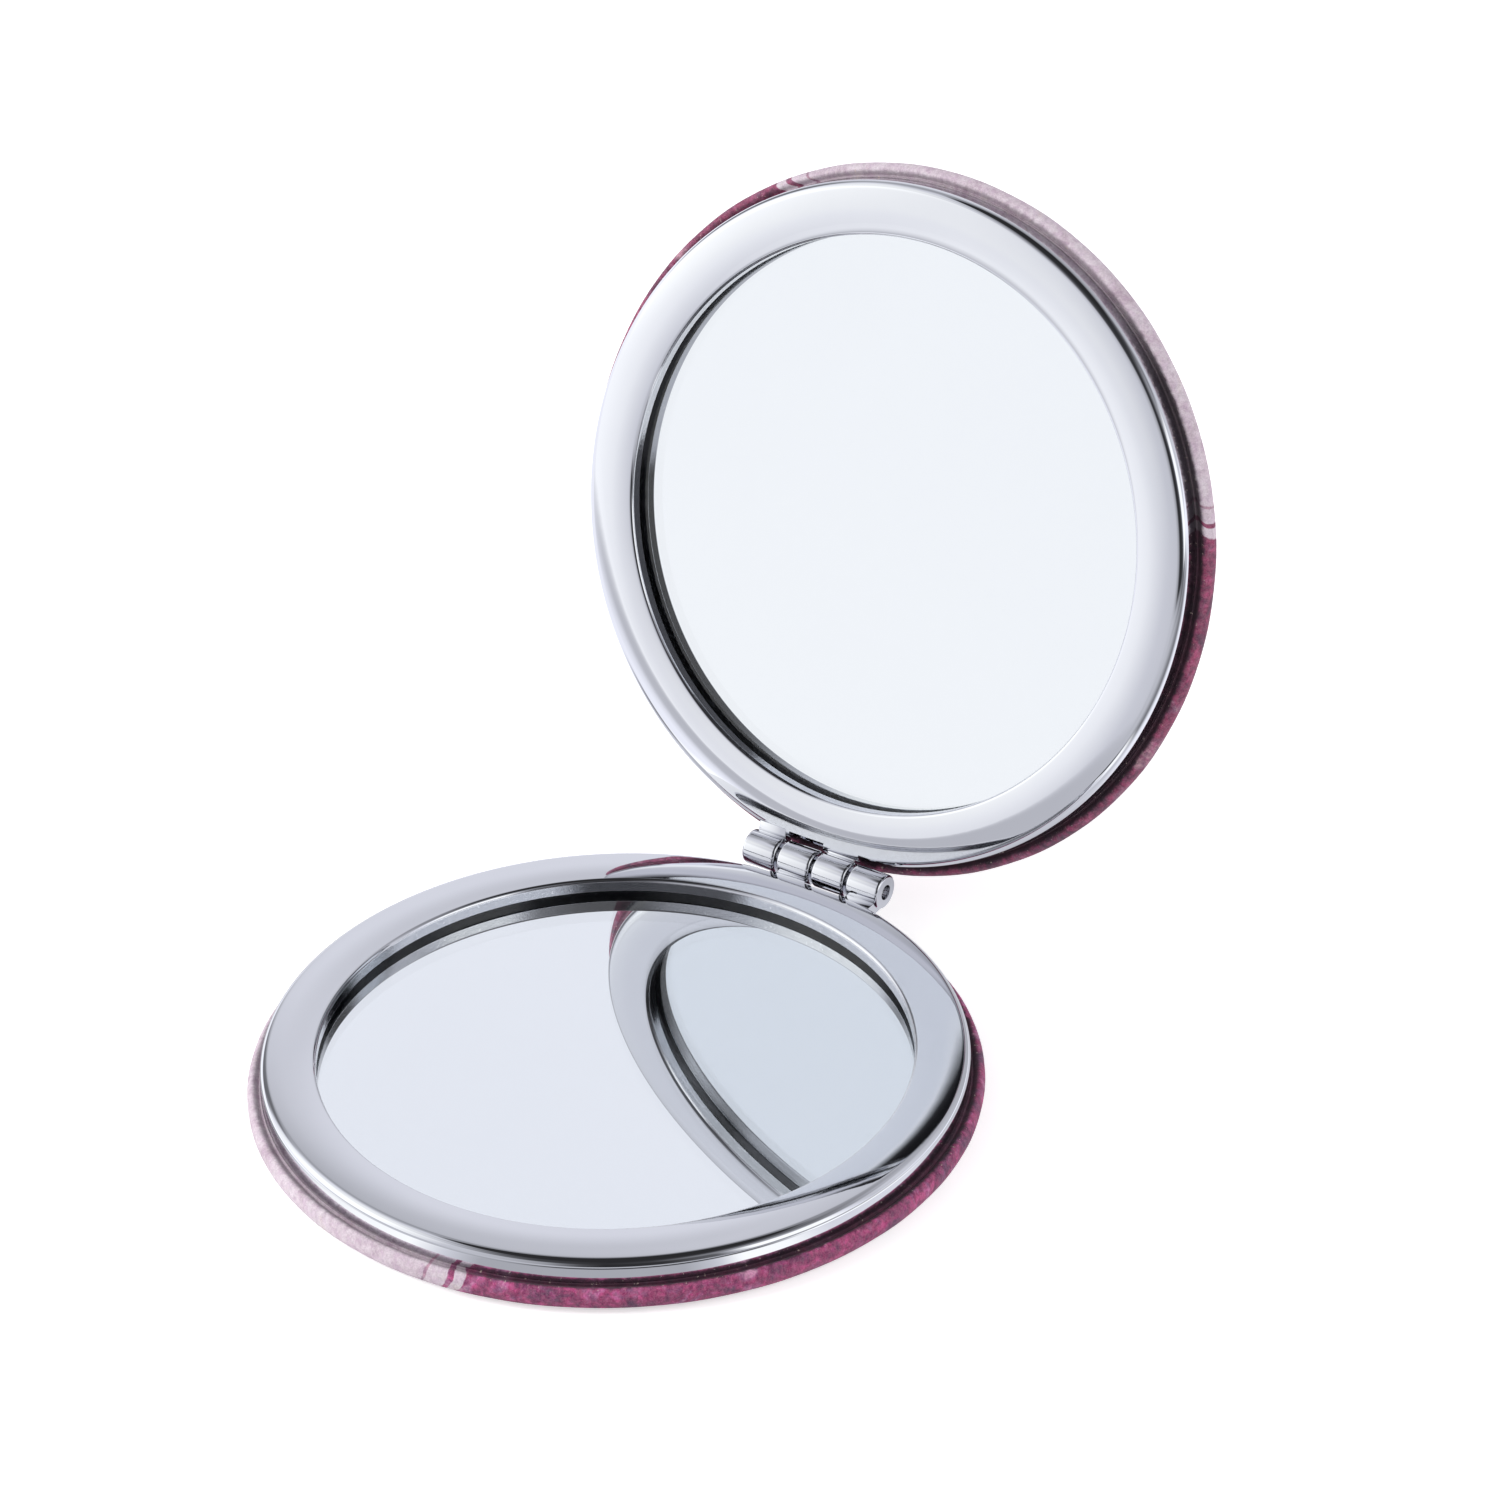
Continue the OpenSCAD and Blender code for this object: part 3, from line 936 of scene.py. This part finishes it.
def make_pad(half):
    """The thin foam pad behind the glass, with rounded edges."""
    top_z = mirror_back_z - foam_air
    outline = [(0, plate_z)]
    outline += arc(pad_r - pad_edge, plate_z + pad_edge, pad_edge, -90, 0, steps=4)
    outline += arc(pad_r - pad_edge, top_z - pad_edge, pad_edge, 0, 90, steps=4)
    outline += [(0, top_z)]
    piece = lathe(half + "_mirror_pad_soft", outline, PAD_SIDES, materials=[foam])
    put(smooth(piece), half, half + "_mirror_pad")


def keep_solid(node, material):
    """Carries a CAD solid over as it is, in a material of its own."""
    kept = frame["nodes"][node].data
    kept.materials.clear()
    kept.materials.append(material)


# Finishes, and the pieces of both halves

chrome = chrome_material()
cast_seat = cast_seat_material()
cast_wall = cast_wall_material()
glass = glass_material()
silver = silver_material()
foam = foam_material()
backing = backing_material()
pin_steel = steel_material("pin_steel", light=(0.62, 0.62, 0.63), dark=(0.4, 0.4, 0.41), rough=0.15)
plate_steel = steel_material("plate_steel", light=(0.66, 0.66, 0.66), dark=(0.5, 0.5, 0.49), rough=0.25)
nickel = steel_material("magnet_nickel", light=(0.66, 0.64, 0.61), dark=(0.5, 0.49, 0.47), rough=0.1)

for half in PLACES:
    make_frame(half)
    make_leaf(half)
    make_glass(half)
    make_cover(half)
    make_foam(half)
    make_pad(half)
    keep_solid(half + "_back_plate", plate_steel)
    keep_solid(half + "_magnets", nickel)
make_pin()


# Studio

# What shows in polished metal, in rows from the floor close by to high up. Each entry is a direction
# round the object, 0 in front and 90 on the right, with a level and, where it isn't the usual, its blue.
RED = 0.985
BLUE = 1.08
NEAR_FLOOR = [
    (-180, 0.60), (-95, 0.60), (-60, 0.48), (-46, 0.34), (-36, 0.85), (-26, 1.20, 1.0), (-4, 1.28, 1.0),
    (3, 0.80), (10, 0.50), (47, 0.50), (53, 0.75), (57, 1.30, 1.0), (66, 1.25, 1.0), (75, 0.88),
    (95, 0.90), (120, 0.70),
]
AWAY_FLOOR = [
    (-180, 0.60), (-170, 0.60), (-150, 1.18), (-85, 1.10), (-56, 1.12), (-49, 0.95), (-43, 0.64),
    (-30, 0.60), (29, 0.64), (50, 0.58), (68, 0.46), (80, 0.36), (92, 0.28), (100, 0.24), (108, 0.36),
    (114, 0.60), (122, 0.95), (130, 1.15), (150, 1.10), (165, 0.80),
]
HORIZON = [
    (-180, 0.45), (-160, 0.45), (-150, 0.65), (-140, 1.00), (-130, 1.21), (-50, 1.24, 1.02),
    (-40, 1.22, 1.02), (-30, 1.08, 1.03), (-20, 0.76), (-10, 0.67), (12, 0.67), (30, 0.57), (45, 0.44),
    (58, 0.26), (70, 0.18), (81, 0.26), (91, 0.52), (100, 0.90), (110, 1.22), (130, 1.20), (142, 1.00),
    (152, 0.66), (165, 0.45),
]
LOW = [
    (-180, 0.50), (-168, 0.58), (-160, 0.78), (-148, 0.87), (-138, 0.86), (-128, 0.72), (-121, 0.50),
    (-115, 0.22), (-103, 0.17), (-97, 0.40), (-93, 0.90), (-86, 1.15, 1.0), (-76, 1.38, 1.0),
    (-42, 1.38, 1.0), (-33, 1.18, 1.0), (-25, 0.98, 1.03), (-18, 0.72), (-10, 0.66), (0, 0.55),
    (12, 0.42), (18, 0.22), (23, 0.09), (30, 0.03), (48, 0.04), (64, 0.14), (69, 0.55), (75, 1.35, 1.0),
    (100, 1.30, 1.0), (108, 0.95), (116, 0.68), (132, 0.78), (168, 0.52),
]
MIDDLE = [
    (-180, 0.50), (-160, 0.58), (-148, 0.74), (-138, 0.62), (-124, 0.42), (-108, 0.50), (-94, 0.92),
    (-70, 1.12, 1.0), (-45, 1.08, 1.0), (-30, 0.75), (-18, 0.42), (-8, 0.20), (4, 0.08), (30, 0.04),
    (46, 0.07), (60, 0.22), (78, 0.36), (94, 0.36), (108, 0.25), (122, 0.38), (140, 0.55), (165, 0.50),
]
HIGH = [
    (-180, 0.35), (-150, 0.22), (-130, 0.34), (-100, 0.48), (-78, 0.80), (-55, 0.80), (-40, 0.45),
    (-26, 0.24), (-12, 0.08), (30, 0.03), (80, 0.06), (120, 0.15), (150, 0.30), (180, 0.35),
]
ZENITH = (0.03, 0.03, 0.032)
# The rows above the horizon with the heights, in degrees, between which each takes over from the last
SKY_ROWS = ((LOW, 2, 6), (MIDDLE, 30, 42), (HIGH, 45, 60))
ZENITH_FROM, ZENITH_FULL = 62, 68
# The rows of the floor past its near one, with the distances, in metres, between which each takes over
FLOOR_ROWS = ((LOW, 0.041, 0.046), (AWAY_FLOOR, 0.052, 0.070), (HORIZON, 0.3, 1.2))

# What shows in the mirrors from each height, in shares of a quarter turn above the horizon
BEHIND_GLASS = [
    (0.0, (0.955, 0.965, 1.0)), (0.36, (0.855, 0.870, 0.945)), (0.62, (0.79, 0.82, 0.90)),
    (0.69, (0.77, 0.80, 0.88)), (0.706, (0.84, 0.86, 0.92)), (0.722, (0.30, 0.31, 0.33)),
    (0.735, (0.01, 0.01, 0.012)), (1.0, (0.005, 0.005, 0.006)),
]
# Where the mirrors show the dark room in front of the object: directions, and then heights, in degrees
DARK_FRONT = [(-180, BLACK), (-21, BLACK), (-14, WHITE), (46, WHITE), (58, BLACK)]
DARK_LOW = (-20, -12)
DARK_HIGH = (64, 54)
DARK_ROOM = (0.10, 0.10, 0.11)

# What lights matt surfaces: an even level with a share of the studio in it
DIFFUSE_LEVEL = (0.60, 0.60, 0.612)
DIFFUSE_SHARE = 0.70
# The floor's paper, its glow towards the camera, and its reach from the middle in metres
PAPER = (0.86, 0.86, 0.86)
FLOOR_GLOW = (0.55, 0.55, 0.55)
FLOOR_REACH = 2.5

# What the lamps point at
LAMP_AIM = (0, 0.015, 0.02)

# The camera at the photograph's place, with its direction and roll in degrees and its lens in mm
CAMERA_PLACE = (0.298169, -0.414308, 0.367122)
CAMERA_AZIMUTH = 34.241
CAMERA_ELEVATION = 32.812
CAMERA_ROLL = 1.290
LENS = 158.73
SENSOR = 36


def row_stops(row):
    """Stops of a ramp for one row of the studio, most of them a little bluish."""
    def stop(direction, level, blue=BLUE):
        return direction / 360 + 0.5, (level * RED, level, level * blue)
    return [stop(*entry) for entry in row]


def direction_share(shader, x, y):
    """Direction in plan as a share of a turn, 0.5 in front."""
    front = shader.math("MULTIPLY", y, -1)
    return shader.math("MULTIPLY_ADD", shader.math("ARCTAN2", x, front), 1 / TURN, 0.5)


def between_heights(shader, height, low, high):
    return shader.smoothstep(height, math.radians(low), math.radians(high))


def studio_colour(shader, around, height):
    """What polished metal shows above the horizon."""
    colour = shader.ramp(around, row_stops(HORIZON))
    for row, start, full in SKY_ROWS:
        share = between_heights(shader, height, start, full)
        colour = shader.mix(share, colour, shader.ramp(around, row_stops(row)))
    return shader.mix(between_heights(shader, height, ZENITH_FROM, ZENITH_FULL), colour, ZENITH)


def glass_colour(shader, around, height):
    """What the mirrors show above the horizon."""
    colour = shader.ramp(shader.math("MULTIPLY", height, 4 / TURN), BEHIND_GLASS)
    dark = shader.ramp(around, [(direction / 360 + 0.5, share) for direction, share in DARK_FRONT])
    for low, high in (DARK_LOW, DARK_HIGH):
        dark = shader.math("MULTIPLY", dark, between_heights(shader, height, low, high))
    return shader.mix(dark, colour, DARK_ROOM)


def make_world():
    """White to the camera, the studio to polished metal, a plainer room to the mirrors, soft to the rest."""
    world = bpy.data.worlds.new("studio")
    bpy.context.scene.world = world
    world.use_nodes = True
    shader = Shader(world.node_tree)
    x, y, z = shader.split(shader.add("ShaderNodeTexCoord").outputs["Generated"])
    around = direction_share(shader, x, y)
    height = shader.math("ARCSINE", z)
    studio = studio_colour(shader, around, height)
    rays = shader.add("ShaderNodeLightPath").outputs
    seen = shader.mix(DIFFUSE_SHARE, DIFFUSE_LEVEL, studio)
    seen = shader.mix(rays["Is Glossy Ray"], seen, studio)
    seen = shader.mix(rays["Is Transmission Ray"], seen, glass_colour(shader, around, height))
    seen = shader.mix(rays["Is Camera Ray"], seen, WHITE)
    background = shader.add("ShaderNodeBackground")
    shader.link(seen, background.inputs["Color"])
    shader.end("ShaderNodeOutputWorld", background)


def floor_colour(shader, x, y):
    """What polished metal shows of the floor."""
    around = direction_share(shader, x, y)
    far = shader.distance(x, y)
    colour = shader.ramp(around, row_stops(NEAR_FLOOR))
    for row, start, full in FLOOR_ROWS:
        share = shader.smoothstep(far, start, full)
        colour = shader.mix(share, colour, shader.ramp(around, row_stops(row)))
    return colour


def floor_material():
    """White paper that keeps the shadow, and that runs on into the studio in metal and mirrors."""
    made = bpy.data.materials.new("white_floor")
    made.use_nodes = True
    shader = Shader(made.node_tree)
    x, y, z = shader.split(shader.add("ShaderNodeTexCoord").outputs["Object"])
    rays = shader.add("ShaderNodeLightPath").outputs
    glossy = rays["Is Glossy Ray"]
    through = rays["Is Transmission Ray"]
    paper = shader.add("ShaderNodeBsdfDiffuse")
    mirrored = shader.math("MAXIMUM", glossy, through)
    shader.link(shader.mix(mirrored, PAPER, BLACK), paper.inputs["Color"])
    own = shader.mix(rays["Is Camera Ray"], BLACK, FLOOR_GLOW)
    own = shader.mix(glossy, own, floor_colour(shader, x, y))
    own = shader.mix(through, own, BEHIND_GLASS[0][1])
    glow = shader.add("ShaderNodeEmission")
    shader.link(own, glow.inputs["Color"])
    both = shader.add("ShaderNodeAddShader")
    shader.link(paper.outputs[0], both.inputs[0])
    shader.link(glow.outputs[0], both.inputs[1])
    shader.end("ShaderNodeOutputMaterial", both)
    return made


def make_floor():
    sides = ((-1, -1), (1, -1), (1, 1), (-1, 1))
    corners = [(right * FLOOR_REACH, rear * FLOOR_REACH, 0) for right, rear in sides]
    floor = add_mesh("floor", corners, [[0, 1, 2, 3]], [floor_material()])


def make_lamp(name, place, size, power):
    """Square softbox that faces the object and doesn't show in metal or glass."""
    data = bpy.data.lights.new(name, "AREA")
    data.shape = "SQUARE"
    data.size = size
    data.energy = power
    lamp = add_object(name, data)
    lamp.location = place
    lamp.rotation_mode = "QUATERNION"
    lamp.rotation_quaternion = (Vector(LAMP_AIM) - Vector(place)).to_track_quat("-Z", "Y")
    lamp.visible_glossy = False
    lamp.visible_transmission = False


def make_camera():
    azimuth, elevation, roll = (math.radians(a) for a in (CAMERA_AZIMUTH, CAMERA_ELEVATION, CAMERA_ROLL))
    data = bpy.data.cameras.new("camera")
    data.sensor_width = SENSOR
    data.lens = LENS
    data.clip_start = 0.01
    data.clip_end = 20
    camera = add_object("camera", data)
    level = math.cos(elevation)
    back = Vector((math.sin(azimuth) * level, -math.cos(azimuth) * level, math.sin(elevation)))
    right = Quaternion(-back, roll) @ back.cross(Vector((0, 0, -1))).normalized()
    turned = Matrix((right, back.cross(right), back)).transposed()
    camera.matrix_world = Matrix.Translation(CAMERA_PLACE) @ turned.to_4x4()
    bpy.context.scene.camera = camera


make_world()
make_floor()
make_lamp("left_softbox", place=(-0.55, -0.45, 0.45), size=0.5, power=5.0)
make_lamp("right_softbox", place=(0.6, 0.1, 0.45), size=0.4, power=2.0)
make_camera()
bpy.context.scene.view_settings.view_transform = "Standard"
